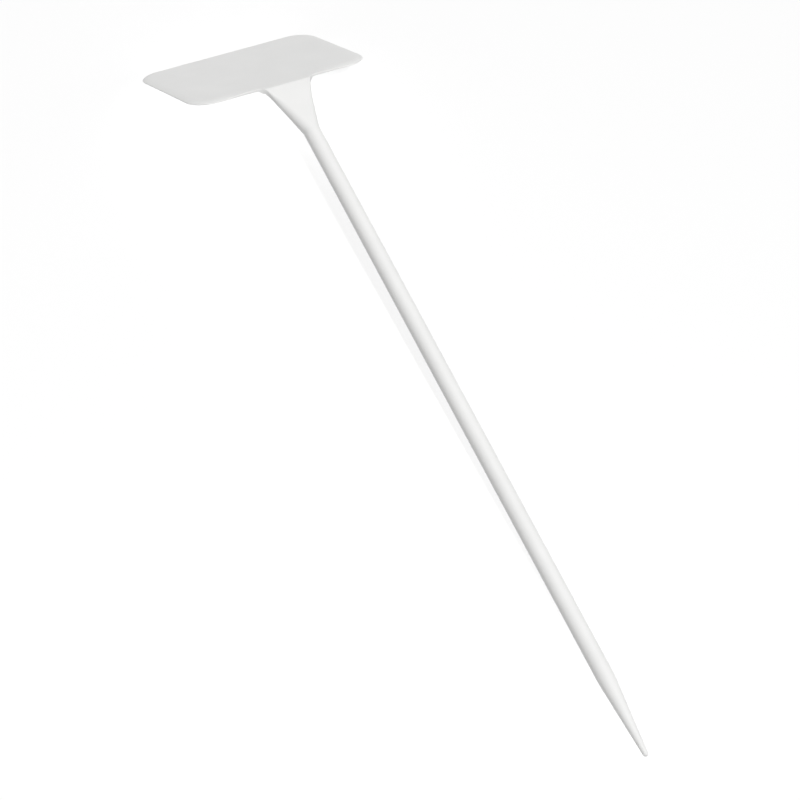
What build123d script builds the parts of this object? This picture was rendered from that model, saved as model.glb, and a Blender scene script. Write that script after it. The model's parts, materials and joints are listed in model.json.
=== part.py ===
from build123d import *
import os
from math import asin, atan, atan2, cos, degrees, hypot, radians, sin, sqrt, tan

# A plant label stake, lying face up on a flat surface on the top edge of its plate and on its point.
# Each piece is drawn upright first: X to the reader's right, Y up the stem, Z towards the reader, with
# the line where the plate's face crosses the middle of the neck as the X axis. All pieces are then
# laid down together, so that +Z is up and the origin is under the middle of the stake.

# Label plate
plate_width = 100.0
plate_height = 70.0
plate_thickness = 1.2
plate_corner_radius = 12.0
plate_edge_round = 0.5
plate_tilt = 43.0

# Neck, which narrows and thickens from the crease at the plate down to the stem
neck_width = 26.0
neck_length = 31.0
neck_thickness = 3.6
neck_fillet_radius = 8.0

# Tongue under the neck and the socket that takes it
tongue_width = 5.0
tongue_thickness = 3.0
tongue_length = 16.0
socket_clearance = 0.1

# Stem and point
stem_diameter = 8.6
stem_axis_forward = 0.2
stake_length = 382.5
point_length = 40.0
point_end_radius = 1.3
point_set_back = 1.1

# The plate's own directions in the upright drawing
tilt = radians(plate_tilt)
plate_plane = Plane(origin=(0, 0, 0), x_dir=(1, 0, 0), z_dir=(0, sin(tilt), cos(tilt)))

# The crease, where the plate's face meets the neck's face
neck_face = neck_thickness / 2
crease_drop = neck_face / sin(tilt)
crease_height = -neck_face / tan(tilt)
neck_shift = crease_drop + crease_height

# The neck's foot, where it has the stem's round section, and the slant of its sides
stem_radius = stem_diameter / 2
neck_foot = neck_shift - neck_length
neck_slant = atan((neck_width / 2 - stem_radius) / neck_length)

# The fillet between the plate's lower edge and the neck's side takes this much of each
fillet_reach = neck_fillet_radius / tan((radians(90) + neck_slant) / 2)
fillet_centre = neck_width / 2 + fillet_reach


def web_outline(lowest):
    """Outline of plate root and neck, flattened: straight sides with a round fillet at the plate's edge."""
    half = neck_width / 2
    top = Vector(fillet_centre, 0)
    low = Vector(half - fillet_reach * sin(neck_slant), -fillet_reach * cos(neck_slant))
    centre = Vector(fillet_centre, -neck_fillet_radius)
    middle = centre + (Vector(half, 0) - centre).normalized() * neck_fillet_radius
    end = Vector(stem_radius, -neck_length)
    with BuildSketch() as flat:
        with BuildLine():
            right = ThreePointArc(top, middle, low)
            side = Line(low, end)
            mirror(right, about=Plane.YZ)
            mirror(side, about=Plane.YZ)
            Line(end, Vector(-end.X, end.Y))
            Line(top, Vector(-top.X, top.Y))
        make_face()
        with Locations((0, lowest - neck_length)):
            Rectangle(2 * fillet_centre, 2 * neck_length, mode=Mode.SUBTRACT)
    return flat.sketch


def label_plate():
    """The writing plate with its rounded rim, and the short root that ends at the crease."""
    slab = extrude(RectangleRounded(plate_width, plate_height, plate_corner_radius), -plate_thickness)
    slab = Pos(0, plate_height / 2, 0) * slab
    rims = slab.edges().group_by(Axis.Z)
    slab = fillet(rims[0] + rims[-1], plate_edge_round)
    root = extrude(web_outline(-2 * crease_drop), -plate_thickness)
    backing = Pos(0, plate_edge_round, -plate_thickness / 2) * Box(
        neck_width, 2 * plate_edge_round, plate_thickness)
    plate = plate_plane.location * (slab + root + backing)
    below = Pos(0, crease_height - neck_length / 2, 0) * Box(plate_width, neck_length, neck_length)
    return plate - below


def neck():
    """The flared neck, flat at the crease and round at the foot, and the tongue below it."""
    web = Pos(0, neck_shift, 0) * extrude(web_outline(-2 * neck_length), plate_width, both=True)

    # Its two faces spread evenly from the crease to the front and back of the stem
    profile = Polygon(
        (crease_height, neck_face),
        (neck_foot, stem_axis_forward + stem_radius),
        (neck_foot, stem_axis_forward - stem_radius),
        (crease_height, -neck_face),
        align=None)
    wedge = extrude(Plane.YZ * profile, plate_width, both=True)

    # A cone rounds the sides: it passes through the web's corners at the crease and is the stem's size below
    above_centre = neck_fillet_radius - crease_drop
    crease_width = fillet_centre - sqrt(neck_fillet_radius**2 - above_centre**2)
    corner_radius = hypot(crease_width, neck_face + stem_axis_forward)
    flare_length = crease_height - neck_foot
    flare = Pos(0, neck_foot + flare_length / 2, stem_axis_forward) * Rot(X=-90) * Cone(
        stem_radius, corner_radius, flare_length)
    tongue = Pos(0, neck_foot - tongue_length / 2, stem_axis_forward) * Box(
        tongue_width, tongue_length, tongue_thickness)
    return (web & wedge & flare) + tongue


def stem():
    """The round rod: a blind socket for the tongue at the top, and a point at the foot."""
    rod_foot = -stake_length + point_length
    rod_length = neck_foot - rod_foot
    rod = Rot(X=90) * Cylinder(stem_radius, rod_length)
    rod = Pos(0, rod_foot + rod_length / 2, stem_axis_forward) * rod

    # The point leans back from the axis and ends in half a ball
    end_centre = (0, -stake_length + point_end_radius, stem_axis_forward - point_set_back)
    foot_circle = Plane(origin=(0, rod_foot, stem_axis_forward), x_dir=(1, 0, 0), z_dir=(0, -1, 0))
    end_circle = Plane(origin=end_centre, x_dir=(1, 0, 0), z_dir=(0, -1, 0))
    rod = rod + loft([foot_circle * Circle(stem_radius), end_circle * Circle(point_end_radius)], ruled=True)
    rod = rod + Pos(*end_centre) * Rot(X=-90) * Sphere(point_end_radius, arc_size2=0, align=None)

    socket_length = tongue_length + socket_clearance
    socket = Pos(0, neck_foot - socket_length / 2, stem_axis_forward) * Box(
        tongue_width + 2 * socket_clearance, socket_length, tongue_thickness + 2 * socket_clearance)
    return rod - socket


# Lying down: the floor touches the plate's rounded top edge behind and the rounded end of the point
behind = plate_thickness - plate_edge_round
across = plate_height - plate_edge_round
edge_up = across * cos(tilt) - behind * sin(tilt)
edge_forward = -across * sin(tilt) - behind * cos(tilt)
point_up = -stake_length + point_end_radius
point_forward = stem_axis_forward - point_set_back
span_up = edge_up - point_up
span_forward = edge_forward - point_forward
tangent_turn = asin((plate_edge_round - point_end_radius) / hypot(span_up, span_forward))
lie = tangent_turn - atan2(span_forward, span_up)
rise = plate_edge_round - (edge_up * sin(lie) + edge_forward * cos(lie))

# Middle of the stake's length once it lies down: from the plate's front top edge to the point
front_up = across * cos(tilt) - plate_edge_round * sin(tilt)
front_forward = -across * sin(tilt) - plate_edge_round * cos(tilt)
head_end = front_up * cos(lie) - front_forward * sin(lie) + plate_edge_round
point_end = point_up * cos(lie) - point_forward * sin(lie) - point_end_radius
lay_down = Pos(0, -(head_end + point_end) / 2, rise) * Rot(X=degrees(lie))

os.makedirs("parts", exist_ok=True)
for make in (label_plate, neck, stem):
    piece = lay_down * make()
    export_step(piece, "parts/" + make.__name__ + ".step")
    box = piece.bounding_box()
    print(make.__name__, len(piece.solids()), round(piece.volume, 2), box.min, box.max)


def placed(up, forward):
    """Where a point of the upright drawing's middle plane lies in the finished part, in metres."""
    y = up * cos(lie) - forward * sin(lie) - (head_end + point_end) / 2
    z = up * sin(lie) + forward * cos(lie) + rise
    return 0.0, round(y / 1000, 6), round(z / 1000, 6)


stem_low = -stake_length + point_length
print("lie angle", round(degrees(lie), 3))
print("label face", placed(plate_height / 2 * cos(tilt), -plate_height / 2 * sin(tilt)),
      round(sin(tilt - lie), 6), round(cos(tilt - lie), 6))
print("stem", placed(stem_low, stem_axis_forward), -round(cos(lie), 6), -round(sin(lie), 6),
      "length", round(neck_foot - stem_low, 3))
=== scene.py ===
import json
from math import asin, atan, atan2, cos, pi, radians, sin, sqrt, tan

import bpy
import bmesh
import numpy as np
from mathutils import Matrix, Vector


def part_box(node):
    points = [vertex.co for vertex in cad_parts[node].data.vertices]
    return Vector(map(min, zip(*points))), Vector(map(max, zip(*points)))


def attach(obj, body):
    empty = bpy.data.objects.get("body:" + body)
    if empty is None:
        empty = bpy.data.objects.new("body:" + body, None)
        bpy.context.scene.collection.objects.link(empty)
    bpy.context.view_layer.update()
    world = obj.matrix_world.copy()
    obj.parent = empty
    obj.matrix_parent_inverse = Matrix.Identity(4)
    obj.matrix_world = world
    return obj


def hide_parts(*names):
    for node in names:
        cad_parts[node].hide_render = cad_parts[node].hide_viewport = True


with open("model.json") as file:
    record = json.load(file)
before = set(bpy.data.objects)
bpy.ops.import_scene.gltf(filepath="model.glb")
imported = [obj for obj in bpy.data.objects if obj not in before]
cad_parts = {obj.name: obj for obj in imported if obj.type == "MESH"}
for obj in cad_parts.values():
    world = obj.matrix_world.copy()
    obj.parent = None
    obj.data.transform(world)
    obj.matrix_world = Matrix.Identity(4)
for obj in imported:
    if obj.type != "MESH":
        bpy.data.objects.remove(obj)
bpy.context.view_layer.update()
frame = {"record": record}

# Label plate
# The flat writing plate: white polypropylene, injection-moulded in one shot with the neck, with round
# corners and a border that rolls gently backwards. It runs into the neck just above the crease, where a
# small gusset behind it makes its root thicker.
mm_per_metre = 1000.0
plate_low, plate_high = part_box("label_plate")
plate_width = (plate_high.x - plate_low.x) * mm_per_metre
plate_height = 0.7 * plate_width
plate_thickness = 0.012 * plate_width
corner_radius = 0.12 * plate_width
border_width = 0.04 * plate_width
border_radius = 0.11 * plate_width
edge_round = 0.22 * plate_thickness
root_thickness = 0.025 * plate_width
gusset_reach = 0.028 * plate_width

# How finely the plate's outline, border, edge, seam and faces are divided
arc_steps = 25
roll_steps = 15
edge_steps = 9
seam_steps = 41
layers = 16

# Directions of the stake, and the middle of the plate's lower edge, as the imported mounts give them
mounts = {mount["name"]: mount for mount in frame["record"]["mounts"]}
across = np.array([1.0, 0.0, 0.0])
face_normal = np.array(mounts["label_face"]["axis"])
up_stem = -np.array(mounts["stem"]["axis"])
to_reader = np.cross(across, up_stem)
up_plate = np.cross(face_normal, across)
foot_of_plate = np.array(mounts["label_face"]["pos_m"]) - up_plate * plate_height / 2 / mm_per_metre
plate_tilt = atan2(face_normal @ up_stem, face_normal @ to_reader)

# The stem's place under the plate, in millimetres up and towards the reader
stem_radius = mounts["stem"]["dims"]["r_mm"]
stem_place = (np.array(mounts["stem"]["pos_m"]) - foot_of_plate) * mm_per_metre
rod_foot = stem_place @ up_stem
stem_forward = stem_place @ to_reader
neck_foot = rod_foot + mounts["stem"]["dims"]["length_mm"]

# The crease between the plate's face and the neck's, which slopes forward to the front of the stem
neck_thickness = 0.036 * plate_width
crease_drop = neck_thickness / 2 / sin(plate_tilt)
crease_height = -neck_thickness / 2 / tan(plate_tilt)
front_rise = stem_forward + stem_radius - neck_thickness / 2
front_slope = atan(front_rise / (crease_height - neck_foot))

# The neck's outline, flattened, which the plate's root shares: straight sides and a round fillet above
neck_width = 0.265 * plate_width
fillet_radius = 0.07 * plate_width
neck_shift = crease_drop + crease_height
neck_slant = atan((neck_width / 2 - stem_radius) / (neck_shift - neck_foot))
fillet_centre = neck_width / 2 + fillet_radius / tan((pi / 2 + neck_slant) / 2)

# The crease is a soft bend, and the seam where the plate ends and the neck begins lies just above it
bend_radius = 0.02 * plate_width
bend_reach = bend_radius * tan((plate_tilt - front_slope) / 2)
seam = bend_reach - crease_drop
seam_half = fillet_centre - sqrt(fillet_radius**2 - (seam + fillet_radius)**2)


def linear(code):
    """Linear colour from an sRGB hex code: a straight toe for dark channels, a power of 2.4 above it."""
    channels = [int(code[i:i + 2], 16) / 255 for i in (1, 3, 5)]
    return [c / 12.92 if c <= 0.04045 else ((c + 0.055) / 1.055) ** 2.4 for c in channels] + [1.0]


def add(tree, kind, inputs=None, **settings):
    """Adds one node: settings are its own properties, and each input takes a link or a fixed value."""
    node = tree.nodes.new(kind)
    for name, value in settings.items():
        setattr(node, name, value)
    for name, value in (inputs or {}).items():
        if isinstance(value, bpy.types.NodeSocket):
            tree.links.new(value, node.inputs[name])
        else:
            node.inputs[name].default_value = value
    return node


def ease(value):
    """Smooth step from 0 to 1, level at both ends: three times the square less twice the cube."""
    value = np.clip(value, 0.0, 1.0)
    return value * value * (3 - 2 * value)


def rounding(inset, radius):
    """
    Depth of a quarter-round edge at a distance inside that edge: its radius less the height of its circle
    there, and 0 past the radius.
    """
    short = np.clip(radius - inset, 0.0, radius)
    return radius - np.sqrt(np.maximum(radius**2 - short**2, 0.0))


def on_plate(x, up, depth):
    """Metres from plate millimetres: across, up the plate from its lower edge, and behind its face."""
    parts = np.stack(np.broadcast_arrays(x, up, depth), axis=-1) / mm_per_metre
    return foot_of_plate + parts @ np.stack([across, up_plate, -face_normal])


def gusset(x, up):
    """Extra thickness behind the plate: full along the seam, less by a smooth step away from it."""
    away = np.hypot(np.maximum(np.abs(x) - seam_half, 0.0), up - seam)
    return (root_thickness - plate_thickness) * ease(1 - away / gusset_reach)


def rim(inset):
    """
    The plate's outline at given distances inside its edge, from the right end of the seam round to the
    left end. Lines move inwards, corner arcs lose the distance and the fillet's arc gains it.
    """
    inset = inset[:, None]
    half = plate_width / 2 - corner_radius
    top = plate_height - corner_radius
    whole = np.linspace(0.0, 1.0, arc_steps)[None]
    run = whole[:, 1:]
    fillet_end = np.arcsin((seam + fillet_radius) / (fillet_radius + inset))
    sweep = fillet_end + (pi / 2 - fillet_end) * whole
    turn = run * pi / 2
    flat = np.zeros_like(inset + run)
    x = [fillet_centre - (fillet_radius + inset) * np.cos(sweep),
         fillet_centre + (half - fillet_centre) * run + flat,
         half + (corner_radius - inset) * np.sin(turn),
         plate_width / 2 - inset + flat,
         half + (corner_radius - inset) * np.cos(turn),
         half * (1 - run) + flat]
    up = [-fillet_radius + (fillet_radius + inset) * np.sin(sweep),
          inset + flat,
          corner_radius - (corner_radius - inset) * np.cos(turn),
          corner_radius + (top - corner_radius) * run + flat,
          top + (corner_radius - inset) * np.sin(turn),
          plate_height - inset + flat]
    x = np.concatenate(x, axis=1)
    up = np.concatenate(up, axis=1)
    return np.concatenate([x, -x[:, -2::-1]], axis=1), np.concatenate([up, up[:, -2::-1]], axis=1)


def fill(x, up):
    """
    Rings that shrink from a closed ring to the plate's middle, which comes last. A power of their number
    sets their size, so that they lie closest together at the edge.
    """
    crowding = 1.6
    size = 1 - np.linspace(0.0, 1.0, layers + 1)[1:-1, None]**crowding
    middle = plate_height / 2
    return np.append(x * size, 0.0), np.append(middle + (up - middle) * size, middle)


def quads(index, closed=False):
    """Faces of a grid of vertex numbers: each joins two neighbours with the two in the next row."""
    beside = np.roll(index, -1, axis=1)
    faces = np.stack([index[:-1], beside[:-1], beside[1:], index[1:]], axis=-1)
    if not closed:
        faces = faces[:, :-1]
    return faces.reshape(-1, 4).tolist()


def fan(ring, centre):
    """Triangles from each edge of a closed ring of vertex numbers to one centre vertex."""
    return np.stack([ring, np.roll(ring, -1), np.full(len(ring), centre)], axis=-1).tolist()


def solid(name, points, faces, material):
    """A closed, smooth-shaded piece with its normals outward and its hard edges kept."""
    hard_edge = radians(35)
    mesh = bpy.data.meshes.new(name)
    mesh.from_pydata(points.tolist(), [], faces)
    work = bmesh.new()
    work.from_mesh(mesh)
    bmesh.ops.recalc_face_normals(work, faces=work.faces)
    work.to_mesh(mesh)
    work.free()
    mesh.polygons.foreach_set("use_smooth", np.ones(len(mesh.polygons), dtype=bool))
    mesh.set_sharp_from_angle(angle=hard_edge)
    mesh.materials.append(material)
    piece = bpy.data.objects.new(name, mesh)
    bpy.context.scene.collection.objects.link(piece)
    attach(piece, "root")
    return piece


def polypropylene():
    """
    Moulded white polypropylene. To the eye it is a satin white with a soft gloss: the flow of the melt
    clouds it faintly, and the tool's surface leaves a fine grain that breaks up the gloss.
    """
    white = "#ebebea"
    clouded = "#e8e8e7"
    cloud_edges = (0.3, 0.7)
    cloud_size = 17.0

    # The tool's real grain of about 0.1 mm is too fine to show, so it is drawn coarser
    grain_size = 0.7
    grain_strength = 0.12
    grain_depth = 0.02
    satin = (0.36, 0.48)
    refraction = 1.49

    material = bpy.data.materials.new("white_polypropylene_moulded")
    material.use_nodes = True
    tree = material.node_tree
    shader = tree.nodes["Principled BSDF"]
    place = add(tree, "ShaderNodeTexCoord").outputs["Object"]
    clouds = add(tree, "ShaderNodeTexNoise",
                 {"Vector": place, "Scale": mm_per_metre / cloud_size, "Detail": 3.0}).outputs["Fac"]
    grain = add(tree, "ShaderNodeTexNoise",
                {"Vector": place, "Scale": mm_per_metre / grain_size, "Detail": 2.0}).outputs["Fac"]
    tint = add(tree, "ShaderNodeValToRGB", {"Fac": clouds})
    for stop, edge, code in zip(tint.color_ramp.elements, cloud_edges, (clouded, white)):
        stop.position = edge
        stop.color = linear(code)
    gloss = add(tree, "ShaderNodeMapRange", {"Value": grain, "To Min": satin[0], "To Max": satin[1]})
    relief = add(tree, "ShaderNodeBump",
                 {"Height": grain, "Strength": grain_strength, "Distance": grain_depth / mm_per_metre})
    shader.inputs["IOR"].default_value = refraction
    tree.links.new(tint.outputs["Color"], shader.inputs["Base Color"])
    tree.links.new(gloss.outputs["Result"], shader.inputs["Roughness"])
    tree.links.new(relief.outputs["Normal"], shader.inputs["Normal"])
    return material


plastic = polypropylene()

# The rim from the inner line of the border over the rolled edge to the back
roll_angle = asin((border_width - edge_round) / border_radius)
quarter = np.linspace(0.0, pi / 2, edge_steps)
front_inset = np.append(border_width - border_radius * np.sin(np.linspace(0.0, roll_angle, roll_steps)),
                        edge_round * (1 - np.sin(quarter[1:])))
back_inset = edge_round * (1 - np.sin(quarter[::-1]))
rim_x, rim_up = rim(np.append(front_inset, back_inset))
rows, columns = rim_x.shape

# The border's roll fades out along the lower edge towards the neck
fade = ease((np.abs(rim_x[0]) - fillet_centre) / (plate_width / 2 - corner_radius - fillet_centre))
fade = np.where(rim_up[0] > corner_radius, 1.0, fade)
rolled = border_radius - np.sqrt(border_radius**2 - (border_width - front_inset)**2)
front_depth = rounding(front_inset, edge_round)[:, None] + rolled[:, None] * fade
behind = len(front_inset)
back_depth = plate_thickness + gusset(rim_x[behind:], rim_up[behind:])
back_depth = back_depth - rounding(back_inset, edge_round)[:, None]
rim_points = on_plate(rim_x, rim_up, np.concatenate([front_depth, back_depth]))

# The seam's two edges close the rings of the face and the back
along = np.linspace(-1.0, 1.0, seam_steps)[1:-1]
front_seam = along * rim_x[0, 0]
back_seam = along * rim_x[-1, 0]
seam_up = np.full(len(along), seam)
face_x, face_up = fill(np.append(rim_x[0], front_seam), np.append(rim_up[0], seam_up))
back_x, back_up = fill(np.append(rim_x[-1], back_seam), np.append(rim_up[-1], seam_up))
points = np.concatenate([
    rim_points.reshape(-1, 3),
    on_plate(front_seam, seam, 0.0),
    on_plate(back_seam, seam, plate_thickness + gusset(back_seam, seam)),
    on_plate(face_x, face_up, 0.0),
    on_plate(back_x, back_up, plate_thickness + gusset(back_x, back_up))])

# Faces: the rim, the end towards the neck, and the rings of the face and the back
grid = np.arange(rows * columns).reshape(rows, columns)
front_row = rows * columns + np.arange(len(along))
back_row = front_row + len(along)
faces = quads(grid)
faces.append(np.concatenate([grid[:, -1], back_row, grid[::-1, 0], front_row[::-1]]).tolist())
start = rows * columns + 2 * len(along)
for ring in (np.append(grid[0], front_row), np.append(grid[-1], back_row)):
    inner = start + np.arange((layers - 1) * len(ring))
    stack = np.append(ring, inner).reshape(layers, len(ring))
    faces += quads(stack, closed=True)
    faces += fan(stack[-1], inner[-1] + 1)
    start = inner[-1] + 2
plate = solid("label_plate_moulded", points, faces, plastic)
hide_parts("label_plate")

# Neck
# The flared web between plate and stem, of the same moulding: it bends into the plate at the crease, and
# lower down its front rounds off and it swells, until its section is the stem's own circle.
thickening = 0.12 * plate_width
side_rounding = 0.12 * plate_width
lean_reach = 0.09 * plate_width

# How finely it is divided: round its section, along the bend and down its face
section = 192
bend_steps = 17
face_steps = 121


def upright(x, up, forward):
    """Metres from stake millimetres: across, up the stem from the plate's lower edge, to the reader."""
    parts = np.stack(np.broadcast_arrays(x, up, forward), axis=-1) / mm_per_metre
    return foot_of_plate + parts @ np.stack([across, up_stem, to_reader])


def web_half_width(down):
    """Half of the neck's flattened width: the fillet's arc above, the straight slanting side below it."""
    drop = down + fillet_radius
    arc = fillet_centre - np.sqrt(np.maximum(fillet_radius**2 - drop**2, 0.0))
    side = fillet_centre - (fillet_radius - drop * sin(neck_slant)) / cos(neck_slant)
    return np.where(drop > fillet_radius * sin(neck_slant), arc, side)


def web_inset(x, down):
    """Distance inside the neck's outline: to the fillet's arc where that is nearest, else to the side."""
    aside = fillet_centre - np.abs(x)
    drop = down + fillet_radius
    arc = np.hypot(aside, drop)
    side = aside * cos(neck_slant) + drop * sin(neck_slant)
    return np.where(drop * cos(neck_slant) > aside * sin(neck_slant), arc, side) - fillet_radius


# The line down the middle of the face: round the bend, then straight to the front of the stem
bend = np.linspace(plate_tilt, front_slope, bend_steps)
bend_up = seam * cos(plate_tilt) - bend_radius * (sin(plate_tilt) - np.sin(bend))
bend_forward = -seam * sin(plate_tilt) - bend_radius * (cos(plate_tilt) - np.cos(bend))
below = np.linspace(0.0, bend_up[-1] - neck_foot, face_steps)[1:]
line_up = np.append(bend_up, bend_up[-1] - below)
line_forward = np.append(bend_forward, bend_forward[-1] + below * tan(front_slope))

# The neck's half width at each place on that line
bend_end = bend_up[-1] - neck_shift
flattened = np.append(np.linspace(seam, bend_end, bend_steps), bend_end - below)
half_width = web_half_width(flattened)

# Thickness square to the face: from the root's to the neck's, and by the square of the way to the stem's
path = np.append(np.linspace(0.0, 2 * bend_reach, bend_steps), 2 * bend_reach + below)
share = path / path[-1]
thickness = root_thickness + (neck_thickness - root_thickness) * ease(path / thickening)
thickness = thickness + (2 * stem_radius - neck_thickness) * share**2

# The depth behind the line runs square to the plate at the seam, and soon square to the stem
lean = plate_tilt * (1 - ease(path / lean_reach))
face_angle = np.append(bend, np.full(len(below), front_slope))
full_depth = thickness / np.cos(np.maximum(lean - face_angle, 0.0))

# The rounding of the sides grows down the neck, until front and back are the halves of a circle
back_round = edge_round + (full_depth / 2 - edge_round) * share
front_round = edge_round + (full_depth - back_round - edge_round) * ease(path / side_rounding)

# One ring of points for each place on the line
around = (np.arange(section) + 0.5) * 2 * pi / section
ring_x = half_width[:, None] * np.sin(around)
ring_inset = web_inset(ring_x, flattened[:, None])
front_depth = rounding(ring_inset, front_round[:, None])
back_depth = full_depth[:, None] - rounding(ring_inset, back_round[:, None])
depth = np.where(np.cos(around) > 0, front_depth, back_depth)
points = upright(ring_x, line_up[:, None] - depth * np.sin(lean)[:, None],
                 line_forward[:, None] - depth * np.cos(lean)[:, None])
grid = np.arange(len(line_up) * section).reshape(-1, section)
faces = quads(grid, closed=True)
faces.append(grid[0].tolist())
faces.append(grid[-1].tolist())
neck = solid("neck_moulded", points.reshape(-1, 3), faces, plastic)
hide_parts("neck")

# Stem and point
# The long round rod of the same moulding, solid all through, that goes into the soil. Its last part
# narrows to a blunt point that lies a little behind the rod's own axis.
point_length = 0.4 * plate_width
point_radius = 0.013 * plate_width
point_back = 0.011 * plate_width
shoulder = 0.03 * plate_width
stake_length = point_length - rod_foot
cap_centre = point_radius - stake_length

# How finely it is divided: along the rod, its shoulder and its point, and over the rounded end
rod_steps = 60
shoulder_steps = 20
point_steps = 30
cap_steps = 12

# Share of the taper: 0 on the rod, a parabola over the softened shoulder, then a straight line to 1
rod_up = np.concatenate([
    np.linspace(neck_foot, rod_foot + shoulder, rod_steps),
    np.linspace(rod_foot + shoulder, rod_foot - shoulder, shoulder_steps)[1:],
    np.linspace(rod_foot - shoulder, cap_centre, point_steps)[1:]])
gone = rod_foot - rod_up
tapered = np.where(gone > shoulder, gone, np.clip(gone + shoulder, 0.0, None)**2 / (4 * shoulder))
tapered = tapered / (rod_foot - cap_centre)
radius = stem_radius + (point_radius - stem_radius) * tapered
middle = stem_forward - point_back * tapered

# The rounded end, ring by ring to its lowest point
cap = np.linspace(0.0, pi / 2, cap_steps)[1:-1]
rod_up = np.append(rod_up, cap_centre - point_radius * np.sin(cap))
radius = np.append(radius, point_radius * np.cos(cap))
middle = np.append(middle, np.full(len(cap), middle[-1]))
points = upright(radius[:, None] * np.sin(around), rod_up[:, None],
                 middle[:, None] + radius[:, None] * np.cos(around)).reshape(-1, 3)
lowest = upright(0.0, -stake_length, middle[-1])
grid = np.arange(len(rod_up) * section).reshape(-1, section)
faces = quads(grid, closed=True)
faces.append(grid[0].tolist())
faces += fan(grid[-1], grid.size)
stem = solid("stem_moulded", np.concatenate([points, lowest[None]]), faces, plastic)
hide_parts("stem")

# Floor
# A plain white sheet under the stake. To the eye it is white, partly by a glow of its own and partly by
# its lit surface, which carries the stake's shadow. The light that it throws back on the stake is that
# of a greyer sheet, so that the undersides keep their shade.
floor_reach = 4.0
grey_sheet = 0.62
pale_sheet = 0.94
glow_share = 0.2
full_white = linear("#ffffff")


def seen(tree):
    """1 on rays to the eye, straight, by gloss or through glass, and 0 on rays that only bring light."""
    rays = add(tree, "ShaderNodeLightPath")
    level = rays.outputs["Is Camera Ray"]
    for kind in ("Is Glossy Ray", "Is Transmission Ray"):
        either = add(tree, "ShaderNodeMath", {0: level, 1: rays.outputs[kind]}, operation="MAXIMUM")
        level = either.outputs["Value"]
    return level


paper = bpy.data.materials.new("white_paper_sheet")
paper.use_nodes = True
tree = paper.node_tree
tree.nodes.clear()
eye = seen(tree)
paleness = add(tree, "ShaderNodeMapRange", {"Value": eye, "To Min": grey_sheet, "To Max": pale_sheet})
sheet = add(tree, "ShaderNodeBsdfDiffuse", {"Color": paleness.outputs["Result"]})
white = add(tree, "ShaderNodeEmission", {"Color": full_white, "Strength": 1.0})
glow = add(tree, "ShaderNodeMath", {0: eye, 1: glow_share}, operation="MULTIPLY")
mixed = add(tree, "ShaderNodeMixShader",
            {"Fac": glow.outputs["Value"], 1: sheet.outputs["BSDF"], 2: white.outputs["Emission"]})
add(tree, "ShaderNodeOutputMaterial", {"Surface": mixed.outputs["Shader"]})

floor_mesh = bpy.data.meshes.new("floor")
floor_mesh.from_pydata([(-floor_reach, -floor_reach, 0.0), (floor_reach, -floor_reach, 0.0),
                        (floor_reach, floor_reach, 0.0), (-floor_reach, floor_reach, 0.0)],
                       [], [(0, 1, 2, 3)])
floor_mesh.materials.append(paper)
floor = bpy.data.objects.new("floor", floor_mesh)
bpy.context.scene.collection.objects.link(floor)

# Light
# A broad soft box high above lights the stake evenly in a white room and throws no shadow of its own.
# A small lamp on the camera's side throws the narrow shadow along the left of the stake.
room_light = 0.15
room = bpy.data.worlds.new("white_room")
room.use_nodes = True
tree = room.node_tree
tree.nodes.clear()
level = add(tree, "ShaderNodeMapRange", {"Value": seen(tree), "To Min": room_light, "To Max": 1.0})
white = add(tree, "ShaderNodeBackground", {"Color": full_white, "Strength": level.outputs["Result"]})
add(tree, "ShaderNodeOutputWorld", {"Surface": white.outputs["Background"]})
bpy.context.scene.world = room


def hang(name, shape, size, power, location):
    """An area lamp at a place, facing the middle of the stake and unseen in its gloss."""
    lamp = bpy.data.lights.new(name, "AREA")
    lamp.shape = shape
    lamp.size = size
    lamp.energy = power
    holder = bpy.data.objects.new(name, lamp)
    holder.location = location
    holder.rotation_euler = (-Vector(location)).to_track_quat("-Z", "Y").to_euler()
    holder.visible_glossy = False
    bpy.context.scene.collection.objects.link(holder)
    return lamp


soft_box = hang("soft_box_above", shape="SQUARE", size=4.3, power=322.0, location=(0.45, -0.5, 6.0))
soft_box.use_shadow = False
hang("near_lamp", shape="DISK", size=0.1, power=12.0, location=(-0.76, -1.12, 2.2))

# Camera
# It looks down on the stake from the plate's left and the point's side, turned so that the stake
# runs from the picture's upper left to its lower right.
aim = Vector((-0.02473, -0.0149, 0.02))
distance = 1.31248
turned = radians(47.333)
raised = radians(54.095)
rolled_by = radians(22.309)

# Backward points from the aim to the camera, and the roll turns the picture's right about it
backward = Vector((-sin(turned) * cos(raised), -cos(turned) * cos(raised), sin(raised)))
level_right = Vector((0, 0, 1)).cross(backward).normalized()
level_up = backward.cross(level_right)
right = level_right * cos(rolled_by) + level_up * sin(rolled_by)
facing = Matrix((right, backward.cross(right), backward)).transposed().to_4x4()
lens = bpy.data.cameras.new("camera")
lens.sensor_width = 36.0
lens.lens = 123.88
camera = bpy.data.objects.new("camera", lens)
camera.matrix_world = Matrix.Translation(aim + backward * distance) @ facing
bpy.context.scene.collection.objects.link(camera)
bpy.context.scene.camera = camera

# No film curve on the colours
bpy.context.scene.view_settings.view_transform = "Standard"
